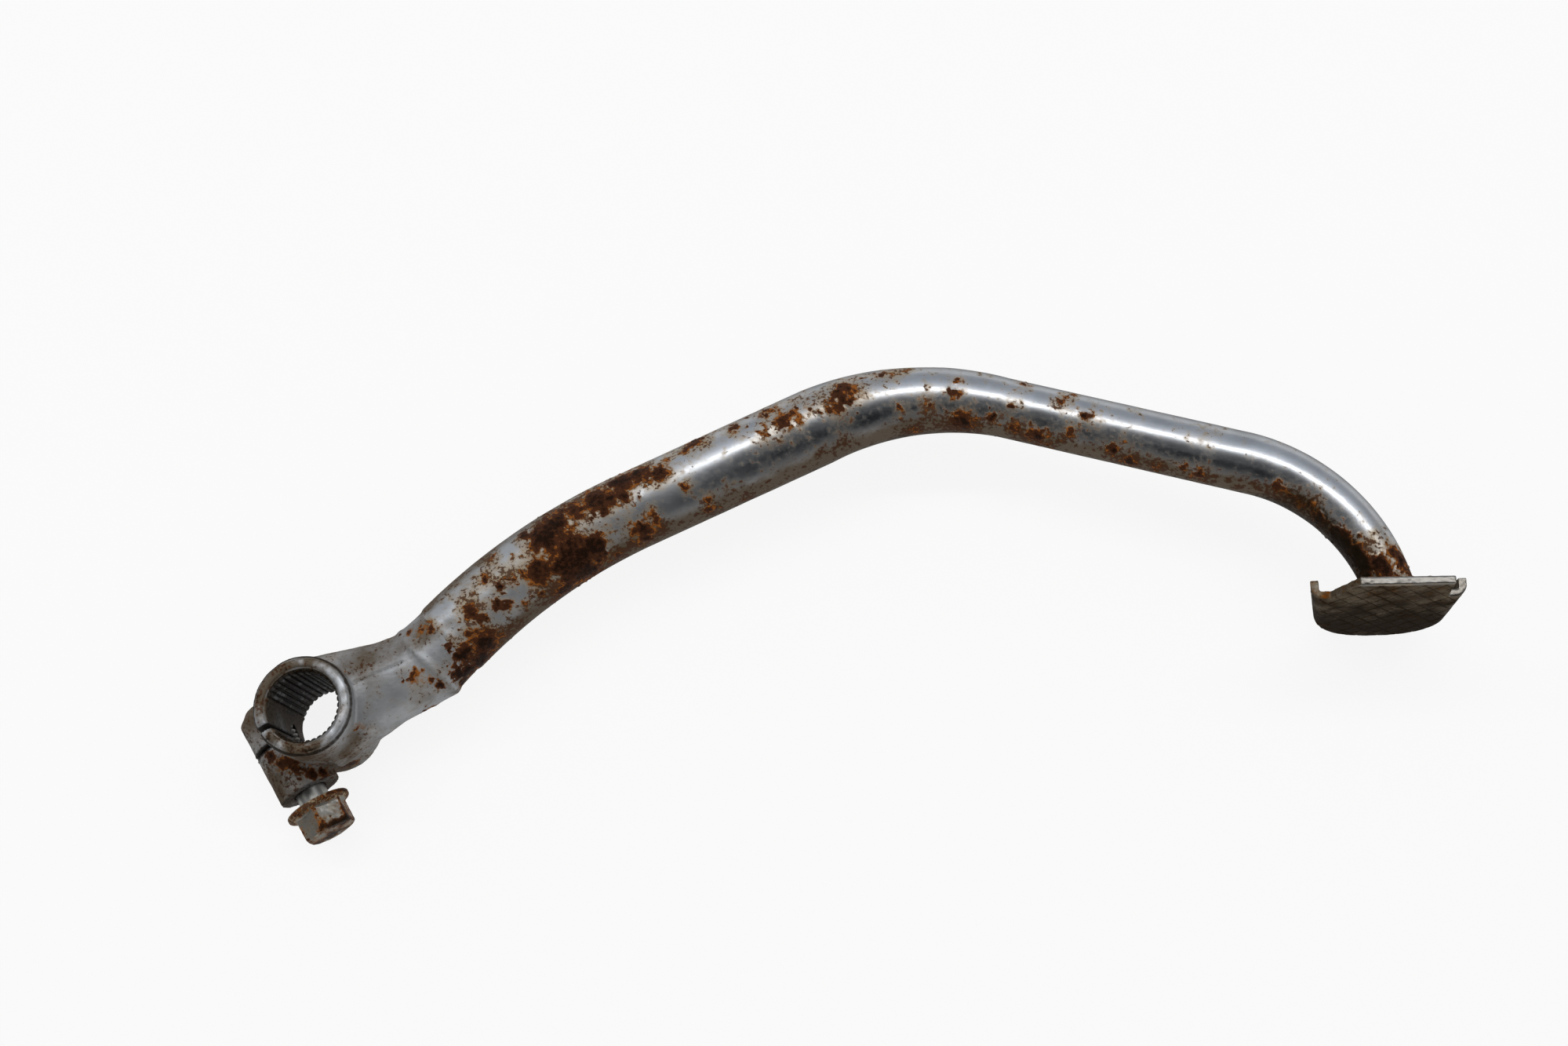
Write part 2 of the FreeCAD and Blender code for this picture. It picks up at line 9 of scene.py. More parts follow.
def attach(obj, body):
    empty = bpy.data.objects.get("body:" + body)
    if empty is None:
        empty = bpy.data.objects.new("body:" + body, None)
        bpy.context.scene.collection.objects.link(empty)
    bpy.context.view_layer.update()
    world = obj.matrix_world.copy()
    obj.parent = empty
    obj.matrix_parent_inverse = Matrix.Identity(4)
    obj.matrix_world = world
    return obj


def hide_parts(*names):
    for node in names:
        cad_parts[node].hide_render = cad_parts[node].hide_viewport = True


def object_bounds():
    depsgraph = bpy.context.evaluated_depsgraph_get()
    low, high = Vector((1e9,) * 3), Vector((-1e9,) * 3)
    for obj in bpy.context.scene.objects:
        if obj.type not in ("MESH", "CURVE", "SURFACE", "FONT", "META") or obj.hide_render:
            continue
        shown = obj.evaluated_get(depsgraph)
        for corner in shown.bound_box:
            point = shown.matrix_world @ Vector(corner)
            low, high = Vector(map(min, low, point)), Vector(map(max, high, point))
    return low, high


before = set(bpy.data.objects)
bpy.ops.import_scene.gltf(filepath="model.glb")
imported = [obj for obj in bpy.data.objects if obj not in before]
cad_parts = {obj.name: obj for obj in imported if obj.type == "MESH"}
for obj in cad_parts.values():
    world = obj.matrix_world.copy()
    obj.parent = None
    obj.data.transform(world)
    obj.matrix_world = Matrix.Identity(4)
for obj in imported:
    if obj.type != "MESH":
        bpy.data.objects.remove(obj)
cad_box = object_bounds()


# Forged hub: a steel collar with a splined bore, a tapering neck and a split lug for the pinch bolt.
# It is hammered in a two-part die, which leaves a parting line along the neck, and the arm is welded
# to it with a joint that is dressed smooth. The plating is dull, scraped on the collar, dirty inside and
# painted darker there as shade.

MM = 0.001
HUB_GRAIN = 0.345 * MM
HUB_EASING = 4
BORE_MOUTH = 9.4 * MM
COLLAR_FACE = 15.1 * MM
COLLAR_RIM = 13.5 * MM
TOOTH_COUNT = 30
TOOTH_PITCH = math.radians(10)
TOOTH_FIRST = math.radians(20)
TOOTH_ROOT = 8.95 * MM
SLOT_TURN = math.radians(211)
SLOT_FROM = 8 * MM
SLOT_REACH = 0.95 * MM
NECK_TURN = math.radians(22.8)
PARTING_OFFSET = 1.0 * MM
PARTING_WIDTH = 0.45 * MM
JOINT = Vector((27.4, 13.0, 1.15)) * MM
JOINT_REACH = 13 * MM
JOINT_EASING = 26
ARM_TURN = math.radians(45.2)

# The dent beside the joint and the patches of rust: x, y, z and reach, in millimetres.
DENT = (34.5, 19.0, 12.4, 3.4)
RUST_SEED = 2.3
HUB_RUST = (
    (26, 8, 10, 1.6), (32, 6, 7, 1.0), (30, 7, 9, 0.7), (13, -5, 9, 0.7), (-9, -12, 1, 1.6),
    (-5, -13, 1, 1.9), (-1, -14, 0, 1.6), (-12, -10, 0, 1.3), (1, -14, -2, 1.6), (-3, -14, -7, 3),
    (6, -12, -9, 2), (33, 20, 2, 1), (30, 8, -10, 3), (22, 16, -11, 4), (8, 12, -14, 1),
    (-12, 3, -12, 2), (18, -7, -9, 2), (-6, 11, -3, 0.8), (27, 3, 0, 1.5), (27, 19, 10, 1.2),
    (24, 19, 9, 0.9), (30, 19, 11, 0.8))
JOINT_RUST = (
    (36, 9, 6, 2.2), (35, 15, 11, 0.9), (38, 10, 4, 2.9), (37, 8, 2, 1.9), (36, 13, 9, 1.3),
    (38, 14, 9, 2.5), (41, 13, 4, 3.4), (43, 16, 7, 3.8), (42, 17, 8, 3.0), (39, 18, 10, 1.3),
    (40, 23, 11, 2.1), (42, 22, 11, 1.5), (43, 22, 10, 1.1))


def put(name, data):
    """A new object in the scene that shows the given mesh, curve, lamp or camera."""
    made = bpy.data.objects.new(name, data)
    bpy.context.scene.collection.objects.link(made)
    return made


def plain(thing, name):
    """The mesh that an object's modifiers make, as a new object of its own."""
    shown = thing.evaluated_get(bpy.context.evaluated_depsgraph_get())
    mesh = bpy.data.meshes.new_from_object(shown)
    bpy.data.objects.remove(thing)
    mesh.shade_smooth()
    return put(name, mesh)


def ease(piece, rounds, group=""):
    """Adds rounds of smoothing to a piece, all over or as a vertex group says."""
    smooth = piece.modifiers.new("ease", "SMOOTH")
    smooth.factor = 0.5
    smooth.iterations = rounds
    smooth.vertex_group = group


def fine_copy(name, grain, rounds, *nodes):
    """Some nodes' solids as one even, dense skin with its edges eased, as handling leaves them."""
    shape = bmesh.new()
    for node in nodes:
        shape.from_mesh(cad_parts[node].data)
    mesh = bpy.data.meshes.new("blank")
    shape.to_mesh(mesh)
    shape.free()
    blank = put("blank", mesh)
    blank.modifiers.new("join", "WELD").merge_threshold = 0.001 * MM
    skin = blank.modifiers.new("skin", "REMESH")
    skin.mode = "VOXEL"
    skin.voxel_size = grain
    ease(blank, rounds)
    return plain(blank, name)


def places(piece):
    """Every vertex's position, in rows."""
    flat = np.empty(3 * len(piece.data.vertices))
    piece.data.vertices.foreach_get("co", flat)
    return flat.reshape(-1, 3)


def facing(piece):
    """Every vertex's normal, in rows."""
    flat = np.empty(3 * len(piece.data.vertices))
    piece.data.vertex_normals.foreach_get("vector", flat)
    return flat.reshape(-1, 3)


def move(piece, spots):
    """Puts every vertex at its new spot."""
    piece.data.vertices.foreach_set("co", spots.ravel())
    piece.data.update()


def raise_skin(piece, height):
    """Moves every vertex along its normal, and keeps it inside the part's own box."""
    moved = places(piece) + facing(piece) * height[:, None]
    move(piece, np.clip(moved, np.array(cad_box[0]), np.array(cad_box[1])))


def keep_only(piece, wanted):
    """Drops the vertices that aren't wanted and closes the hole that they leave."""
    shape = bmesh.new()
    shape.from_mesh(piece.data)
    shape.verts.ensure_lookup_table()
    bmesh.ops.delete(shape, geom=[shape.verts[k] for k in np.flatnonzero(~wanted)], context="VERTS")
    rim = [edge for edge in shape.edges if edge.is_boundary]
    bmesh.ops.holes_fill(shape, edges=rim, sides=0)
    shape.to_mesh(piece.data)
    shape.free()


def soften(piece, name, share, rounds):
    """Smooths a piece where the share is above 0."""
    group = piece.vertex_groups.new(name="soft")
    for index in np.flatnonzero(share > 0.02):
        group.add([int(index)], float(share[index]), "REPLACE")
    ease(piece, rounds, "soft")
    return plain(piece, name)


def note(piece, **fields):
    """Keeps some numbers for each vertex on the piece, for its material to read."""
    for name, values in fields.items():
        kept = piece.data.attributes.new(name, "FLOAT", "POINT")
        kept.data.foreach_set("value", np.clip(values, 0, 1).astype(np.float32))


def ease_between(values, low, high):
    """Goes smoothly from 0 at the low value to 1 at the high one."""
    t = np.clip((values - low) / (high - low), 0, 1)
    return t * t * (3 - 2 * t)


def ahead_and_left(rows, turn):
    """How far each row goes along a direction square to the bore, and how far to the left of it."""
    ahead = np.array((math.cos(turn), math.sin(turn), 0))
    left = np.array((-math.sin(turn), math.cos(turn), 0))
    return rows @ ahead, rows @ left


def past_joint(spots):
    """How far up the arm each spot lies from the joint of hub and tube."""
    return ahead_and_left(spots - np.array(JOINT), ARM_TURN)[0]


def dirty_shaded_side(piece):
    """How far every vertex faces towards -Y and a little towards -Z, the side given brown film and grime that
    are partly dirt and partly painted shade and reflection.
    """
    return -0.85 * facing(piece)[:, 1] - 0.35 * facing(piece)[:, 2]


def lumps(spots, size, seed):
    """Fractal noise from about -1 to 1, with lumps of the given size."""
    shift = Vector((seed, 0.7 * seed, -1.3 * seed))
    softness, shrink, layers = 0.9, 2.1, 4
    return np.array([noise.fractal(Vector(spot) / size + shift, softness, shrink, layers) for spot in spots])


def cloudy_film(spots):
    """Brown film that lies in clouds on the hub and on the first stretch of the arm."""
    return 0.24 + 0.40 * lumps(spots, 9 * MM, 2.6)


def dented(spots):
    """How deep each spot lies in the dent, from 0 at its edge to 1."""
    return ease_between(1 - np.linalg.norm(spots / MM - DENT[:3], axis=1) / DENT[3], 0, 1)


def rusted(spots, patches, seed):
    """How deep each spot lies in rust: above 0 inside ragged patches, which have crumbs round them."""
    depth = np.full(len(spots), -6.0)
    for x, y, z, reach in patches:
        away = np.linalg.norm(spots / MM - (x, y, z), axis=1)
        depth = np.maximum(depth, (reach - away) / (0.4 * reach + 0.8))
    near = ease_between(depth, -3.5, 0.2)
    ragged = depth + 0.75 * lumps(spots, 3.2 * MM, seed) + 0.75 * lumps(spots, 1.3 * MM, seed + 2)
    crumbs = 2.2 * (lumps(spots, 1.5 * MM, seed + 5) - 0.42) - 1.5 * (1 - near)
    return np.maximum(ragged, crumbs)


class Wire:
    """A node's output that can be used in sums like a number, and that adds nodes to its own tree."""

    def __init__(self, tree, socket=None):
        self.tree = tree
        self.socket = socket

    def node(self, kind, inputs=(), out=0, stops=(), **settings):
        """Adds one node with its settings, its ramp's stops and its inputs, and gives one output."""
        made = self.tree.nodes.new(kind)
        for key, value in settings.items():
            setattr(made, key, value)
        for place, colour in stops:
            made.color_ramp.elements.new(place).color = (*colour, 1)
        if stops:
            made.color_ramp.elements.remove(made.color_ramp.elements[0])
            made.color_ramp.elements.remove(made.color_ramp.elements[-1])
        for key, value in dict(inputs).items():
            if isinstance(value, Wire):
                self.tree.links.new(value.socket, made.inputs[key])
            else:
                made.inputs[key].default_value = value
        return Wire(self.tree, made.outputs[out] if made.outputs else None)

    def sum(self, operation, first, second):
        """One Math node on two numbers or wires."""
        return self.node("ShaderNodeMath", {0: first, 1: second}, operation=operation)

    def __add__(self, other):
        return self.sum("ADD", self, other)

    def __radd__(self, other):
        return self.sum("ADD", other, self)

    def __sub__(self, other):
        return self.sum("SUBTRACT", self, other)

    def __rsub__(self, other):
        return self.sum("SUBTRACT", other, self)

    def __mul__(self, other):
        return self.sum("MULTIPLY", self, other)

    def __rmul__(self, other):
        return self.sum("MULTIPLY", other, self)

    def most(self, other):
        """The larger of the two."""
        return self.sum("MAXIMUM", self, other)

    def between(self, low, high):
        """Goes smoothly from 0 at the low value to 1 at the high one."""
        return self.node("ShaderNodeMapRange", {0: self, 1: low, 2: high}, interpolation_type="SMOOTHSTEP")

    def tint(self, low, high):
        """A colour that goes from the first to the second as this number goes from 0 to 1."""
        first = low if isinstance(low, Wire) else (*low, 1)
        second = high if isinstance(high, Wire) else (*high, 1)
        return self.node("ShaderNodeMix", {0: self, 6: first, 7: second}, out=2, data_type="RGBA")

    def grain(self, size, detail, rough=0.55, stretch=(1, 1, 1)):
        """Noise from 0 to 1 on the object's own coordinates, with spots of the given size."""
        spot = self.node("ShaderNodeTexCoord", out="Object")
        spot = self.node("ShaderNodeMapping", {"Vector": spot, "Scale": stretch})
        return self.node("ShaderNodeTexNoise",
                         {"Vector": spot, "Scale": 1 / size, "Detail": detail, "Roughness": rough})

    def kept(self, name):
        """A number that the mesh keeps for each vertex."""
        return self.node("ShaderNodeAttribute", out="Fac", attribute_name=name)


RUST_DARK = (0.016, 0.006, 0.0025)
RUST_BROWN = (0.064, 0.022, 0.009)
RUST_ORANGE = (0.30, 0.100, 0.018)
RUST_HALO = (0.24, 0.115, 0.035)
YELLOW_STAIN = (0.34, 0.24, 0.12)
# The brown film and grime colours also serve as painted shade, and the film as a painted reflection.
BROWN_FILM_AND_SHADE = (0.090, 0.062, 0.032)
GRIME_AND_SHADE = (0.012, 0.0070, 0.0025)
CRUST_STOPS = ((0.48, RUST_DARK), (0.70, RUST_BROWN), (0.86, RUST_BROWN), (0.98, RUST_ORANGE))
PIT_DEPTH = 0.5 * MM


def fresh(owner):
    """Clears the nodes of a material or a world, and gives a wire to build new ones from."""
    owner.use_nodes = True
    owner.node_tree.nodes.clear()
    return Wire(owner.node_tree)


def worn_metal(name, bright, dull, polish, speckle, gloss=0.12, edge=0.32):
    """Plated steel that wears. The piece's own numbers say where it is rusted, stained, filmed brown, caked
    with grime, dulled or scraped bare, and its brown film and grime also paint shade and reflection where the
    piece asks; noise breaks up their edges. Polish is how rough the clean plating is, speckle how high the
    noise has to go for a freckle, and gloss and edge are how much it mirrors straight on and at a slant."""
    material = bpy.data.materials.new(name)
    start = fresh(material)
    cloud = start.grain(8 * MM, 4)
    fine = start.grain(0.9 * MM, 5, 0.65)
    dust = start.grain(0.25 * MM, 3)
    scratch = start.grain(0.4 * MM, 3, 0.6, stretch=(0.10, 1, 1))
    rust, stain, brown_film_and_shade, caked_and_shaded = (start.kept(field) for field in ("rust", "stain", "film", "grime"))
    dulled, bare = start.kept("dull"), start.kept("bare")

    # How much of each lies on the plating.
    scab = (rust + 0.34 * (fine - 0.5) + 0.10 * (dust - 0.5)).between(0.46, 0.54)
    halo = (rust + 0.60 * (fine - 0.5) + 0.5 * (cloud - 0.5)).between(0.22, 0.52)
    freckle = (fine + 0.30 * stain + 0.12 * brown_film_and_shade + 0.08 * cloud).between(speckle, speckle + 0.06)
    film = (stain + 0.9 * (cloud - 0.5) + 0.6 * (fine - 0.5)).between(0.10, 0.95)
    smear_and_shade = (brown_film_and_shade + 0.5 * (cloud - 0.5) + 0.35 * (fine - 0.5)).between(0.05, 0.95)
    dirt_and_shade = (caked_and_shaded + 0.5 * (fine - 0.5) + 0.3 * (cloud - 0.5)).between(0.25, 0.80)
    cover = scab.most(dirt_and_shade).most(0.8 * freckle)

    # The plating's own tone, and the layers on it from the thinnest to the thickest.
    shiny = bare * (0.6 + 0.6 * scratch)
    colour = (0.9 * cloud + 0.22 * scratch + 0.12 * fine - 0.10 - 0.25 * dulled + shiny).tint(dull, bright)
    colour = (0.75 * film).tint(colour, YELLOW_STAIN)
    colour = (0.92 * smear_and_shade).tint(colour, BROWN_FILM_AND_SHADE)
    colour = (0.60 * halo).tint(colour, RUST_HALO)
    crumb = 0.8 * fine + 0.4 * dust + 0.7 * cloud - 0.9 * (rust - 0.5)
    crust = crumb.node("ShaderNodeValToRGB", {"Fac": crumb}, stops=CRUST_STOPS)
    colour = (0.85 * freckle).tint(colour, RUST_BROWN)
    colour = scab.tint(colour, crust)
    # The near-black grime also paints shade in the bore, the slot, round the rim and on shaded sides.
    colour = (0.92 * dirt_and_shade).tint(colour, GRIME_AND_SHADE)

    # Rust, and grime with its painted shade, are no metal and are rough; scabs stand up and freckles are pits.
    metal = (1 - cover) * (1 - 0.5 * halo) * (1 - 0.25 * film) * (1 - 0.45 * smear_and_shade) * (1 - 0.45 * dulled)
    rough = polish + 0.20 * dulled + 0.10 * bare + 0.08 * (cloud - 0.4) + 0.03 * scratch
    rough = rough + 0.14 * film + 0.2 * halo + 0.15 * smear_and_shade
    rough = rough + cover * (0.92 - 0.55 * dust - rough)
    height = scab * (0.9 * fine + 0.5 * dust) + 0.20 * dulled * (cloud + 1.3 * fine) + 0.003 * scratch
    height = height + 0.005 * film * fine - 0.04 * freckle
    normal = height.node("ShaderNodeBump", {"Strength": 0.6, "Distance": PIT_DEPTH, "Height": height},
                         out="Normal")
    shade = normal.node("ShaderNodeBsdfPrincipled", {
        "Base Color": colour, "Metallic": metal, "Roughness": rough, "Normal": normal,
        "Specular IOR Level": gloss, "Specular Tint": (edge, edge, edge, 1)}, out="BSDF")
    shade.node("ShaderNodeOutputMaterial", {"Surface": shade})
    return material


def finish_piece(piece, material, body, slot, *nodes):
    """Gives a piece its material, its body and the solids that it stands for; its slot is not used."""
    piece.data.materials.clear()
    piece.data.materials.append(material)
    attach(piece, body)
    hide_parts(*nodes)


# The hub's skin runs a little way up the tube, with their weld dressed smooth.
hub = fine_copy("forged_hub", HUB_GRAIN, HUB_EASING, "splined_hub", "arm_tube", "weld_beads")
keep_only(hub, past_joint(places(hub)) < JOINT_REACH)
along = past_joint(places(hub))
near_joint = ease_between(along, -9 * MM, -3 * MM) * ease_between(-along, -9 * MM, -5 * MM)
hub = soften(hub, "forged_hub", near_joint, JOINT_EASING)

# The bore is opened to the roots of its teeth, which are a ring of their own.
spots = places(hub)
from_axis = np.hypot(spots[:, 0], spots[:, 1])
from_slot = (np.arctan2(spots[:, 1], spots[:, 0]) - SLOT_TURN) % math.tau
toothed = from_slot > TOOTH_FIRST - TOOTH_PITCH / 2
toothed = toothed * (from_slot < TOOTH_FIRST + (TOOTH_COUNT - 0.5) * TOOTH_PITCH)
opened = np.where((from_axis < TOOTH_ROOT) * toothed, TOOTH_ROOT / from_axis, 1)
spots[:, :2] = spots[:, :2] * opened[:, None]
move(hub, spots)

# Where each spot of the skin lies.
along = past_joint(spots)
from_axis = np.hypot(spots[:, 0], spots[:, 1])
high = np.abs(spots[:, 2])
in_bore = ease_between(-from_axis, -BORE_MOUTH, -BORE_MOUTH + 0.5 * MM) * (high < COLLAR_FACE + 0.1 * MM)
plain_arc = in_bore * (1 - toothed)
on_face = ease_between(high, COLLAR_FACE, COLLAR_FACE + 0.2 * MM) * (1 - in_bore)
# A dark line round the collar's rim: painted shadow, with some grime.
rim_grime_shadow = ease_between(from_axis, COLLAR_RIM - 2 * MM, COLLAR_RIM - 1.4 * MM) * (from_axis < COLLAR_RIM)
rim_grime_shadow = rim_grime_shadow * ease_between(high, 13.2 * MM, 14.4 * MM)
open_skin = (1 - in_bore) * (1 - on_face)
along_neck, across_neck = ahead_and_left(spots, NECK_TURN)
into_slot, across_slot = ahead_and_left(spots, SLOT_TURN)
slot_wall = np.abs(ahead_and_left(facing(hub), SLOT_TURN)[1])
in_slot = (into_slot > SLOT_FROM) * (np.abs(across_slot) < SLOT_REACH) * ease_between(slot_wall, 0.5, 0.9)
# Darkening in the slot's mouth: painted shade, with some dirt.
slot_dirt_shade = (into_slot > SLOT_FROM) * ease_between(-np.abs(across_slot), -1.0 * MM, -0.7 * MM)

# The forging's skin: hammered, pitted, with its parting line; rust stands on it, and the slot is closed
# up a little.
crease = across_neck - PARTING_OFFSET - 0.5 * MM * lumps(spots, 6 * MM, 1.1)
parting = np.exp(-(crease / PARTING_WIDTH) ** 2) * ease_between(along_neck, 11.5 * MM, 13 * MM)
parting = parting * ease_between(-along_neck, -29 * MM, -24 * MM)
pits = ease_between(lumps(spots, 1.4 * MM, 6.1), 0.45, 0.8)
worked = 0.10 * lumps(spots, 5 * MM, 3.1) - 0.14 - 0.25 * parting - 0.10 * pits - 0.5 * dented(spots)
rust = rusted(spots, HUB_RUST + JOINT_RUST, RUST_SEED)
scab = ease_between(rust, -0.05, 0.25) * (1 - in_bore)
crust = 0.12 + 0.14 * lumps(spots, 0.9 * MM, 1.9)
lining = 0.26 + 0.26 * ease_between(-high, -14 * MM, -12 * MM)
tucked = ease_between(along, 7.5 * MM, JOINT_REACH)
raise_skin(hub, MM * (open_skin * worked + scab * crust + in_slot * lining - 1.2 * tucked))

# Its wear and painted shade: brown film below and towards the arm and along the neck's top, partly dirt and
# partly painted shade; grime in the bore, partly grease and partly painted shade; painted shade in the slot,
# on the lug and as a dark line round the collar's rim, with some grime; and a face that is scraped bright
# above and stained below, partly as painted shade.
# Brown film below, towards -Y and on faces towards the table: partly dirt and partly painted shade.
under_dirty_shaded = ease_between(-spots[:, 1] / MM, -1, 14) + ease_between(-facing(hub)[:, 2], 0.2, 0.8)
dirty_shaded = dirty_shaded_side(hub)
# The lug is darkened with grime that is partly painted shade.
lug_grime_shade = ease_between(-spots[:, 1] - 0.5 * spots[:, 0], 11 * MM, 15 * MM)
towards_arm = ease_between(along, -7 * MM, 8 * MM)
low_face_stain_shade = on_face * ease_between(-spots[:, 1], 3 * MM, 10 * MM)
left_face_stain_shade = on_face * ease_between(spots[:, 1] - spots[:, 0], 0, 14 * MM)
patchy = lumps(spots, 6 * MM, 5.3)
scraped = lumps(spots, 2.5 * MM, 8.3)
film = cloudy_film(spots) + 0.45 * under_dirty_shaded * (1 - 0.8 * on_face) + on_face * (0.3 * patchy - 0.4 * scraped)
# Along the neck's top side and on the collar face's low and left parts the film is partly stain and partly
# painted shade.
film = film + 0.40 * ease_between(across_neck, 0, 5 * MM) + 0.40 * left_face_stain_shade + 0.45 * low_face_stain_shade
film = film + 1.15 * towards_arm * ease_between(dirty_shaded, -0.05, 0.75) + 0.5 * plain_arc
# In the bore the grime is partly grease and partly painted shade, less on the plain arc.
grime = 1.15 * in_bore - 0.65 * plain_arc + 1.2 * slot_dirt_shade + 0.75 * rim_grime_shadow + 0.45 * lug_grime_shade
grime = grime + 0.35 * pits + 0.5 * parting + 0.5 * towards_arm * ease_between(dirty_shaded, 0.5, 1.0)
grime = grime + on_face * (0.1 + 0.35 * patchy - 0.3 * scraped) + 0.2 * low_face_stain_shade
note(hub, rust=0.5 + 0.5 * (rust * (1 - in_bore) - in_bore), stain=0.22 + 0.35 * patchy + 0.10 * under_dirty_shaded,
     film=film, grime=grime, bare=on_face * (0.05 + 0.7 * scraped),
     dull=(1 - 0.4 * on_face) * (1 - 0.2 * ease_between(along, -6 * MM, 14 * MM)))
plating = worn_metal("worn_plating", (0.66, 0.68, 0.71), (0.30, 0.31, 0.32), 0.27, 0.765)
finish_piece(hub, plating, "pedal", "forging", "splined_hub")


# Bore teeth: broached serrations that grip the shaft, in a ring that leaves out an arc beside the slot.
# They are cut in the hub's own steel, so they have its plating, darkened by old grease and by painted shade, a
# little less on their crests.

TOOTH_REACH = 14.65 * MM
TOOTH_RINGS = 40
TOOTH_LEAD = 0.3 * MM
TOOTH_OUTLINE = ((9.15, -0.66), (8.95, -0.66), (8.53, -0.41), (8.46, -0.33), (8.45, 0),
                 (8.46, 0.33), (8.53, 0.41), (8.95, 0.66), (9.15, 0.66))


def one_tooth():
    """A broached tooth along the bore, out along +X, with its ends eased."""
    shape = bmesh.new()
    rings = []
    for height in np.linspace(-TOOTH_REACH, TOOTH_REACH, TOOTH_RINGS):
        lead = TOOTH_LEAD * float(abs(height) > TOOTH_REACH - 0.1 * MM)
        rings.append([shape.verts.new((max(x * MM, min(x * MM + lead, TOOTH_ROOT)), y * MM, height))
                      for x, y in TOOTH_OUTLINE])
    for lower, upper in zip(rings, rings[1:]):
        for k in range(len(lower)):
            j = (k + 1) % len(lower)
            shape.faces.new((lower[k], lower[j], upper[j], upper[k]))
    shape.faces.new(rings[0])
    shape.faces.new(rings[-1])
    bmesh.ops.recalc_face_normals(shape, faces=shape.faces)
    mesh = bpy.data.meshes.new("one_tooth")
    shape.to_mesh(mesh)
    shape.free()
    return put("one_tooth", mesh)


def recipe(name, **inputs):
    """A new Geometry Nodes tree with named inputs of the given kinds, and a wire from each of them."""
    tree = bpy.data.node_groups.new(name, "GeometryNodeTree")
    for label, kind in inputs.items():
        tree.interface.new_socket(label, in_out="INPUT", socket_type="NodeSocket" + kind)
    tree.interface.new_socket("Made", in_out="OUTPUT", socket_type="NodeSocketGeometry")
    given = Wire(tree).node("NodeGroupInput").socket.node
    return tree, [Wire(tree, given.outputs[label]) for label in inputs]


def coat_and_give(shape, finish):
    """Ends a tree: makes its instances real, gives them their material and hands them out."""
    solid = shape.node("GeometryNodeRealizeInstances", {"Geometry": shape})
    coated = solid.node("GeometryNodeSetMaterial", {"Geometry": solid, "Material": finish})
    coated.node("NodeGroupOutput", {"Made": coated})


def tooth_ring():
    """Repeats a tooth round the bore's axis."""
    tree, (tooth, count, first, pitch, finish) = recipe(
        "tooth_ring", Tooth="Geometry", Count="Int", First="Float", Pitch="Float", Finish="Material")
    points = count.node("GeometryNodePoints", {"Count": count})
    turn = first + pitch * pitch.node("GeometryNodeInputIndex")
    turn = turn.node("ShaderNodeCombineXYZ", {"Z": turn})
    ring = points.node("GeometryNodeInstanceOnPoints", {"Points": points, "Instance": tooth, "Rotation": turn})
    coat_and_give(ring, finish)
    return tree


def grown(thing, name, tree, **sizes):
    """Runs a Geometry Nodes tree on an object, with its inputs set by name, and keeps the plain mesh."""
    work = thing.modifiers.new("work", "NODES")
    work.node_group = tree
    for socket in tree.interface.items_tree:
        if socket.in_out == "INPUT" and socket.name in sizes:
            work[socket.identifier] = sizes[socket.name]
    return plain(thing, name)


teeth = grown(one_tooth(), "bore_teeth", tooth_ring(), Count=TOOTH_COUNT, First=SLOT_TURN + TOOTH_FIRST,
              Pitch=TOOTH_PITCH, Finish=plating)
spots = places(teeth)
on_crest = ease_between(-np.hypot(spots[:, 0], spots[:, 1]), -8.7 * MM, -8.5 * MM)
patchy = lumps(spots, 4 * MM, 7.9)
# The teeth are darkened all over by grime that is partly grease and partly painted shade, a little less on
# their crests.
note(teeth, rust=0.15 + 0.25 * patchy, stain=0.4 + 0.4 * patchy, film=0.5 + 0.4 * patchy,
     grime=0.95 - 0.24 * on_crest + 0.25 * patchy, dull=np.full(len(spots), 0.6))
finish_piece(teeth, plating, "pedal", "forging", "splined_hub")


# Plated arm: one steel tube, swaged thinner in steps from the hub to the tread and bent three times in
# one plane. Its bright plating has blistered into thick brown scabs of rust, mostly near the hub, with
# yellow stain round them and freckles along the underside; a blow left a dent near the hub.

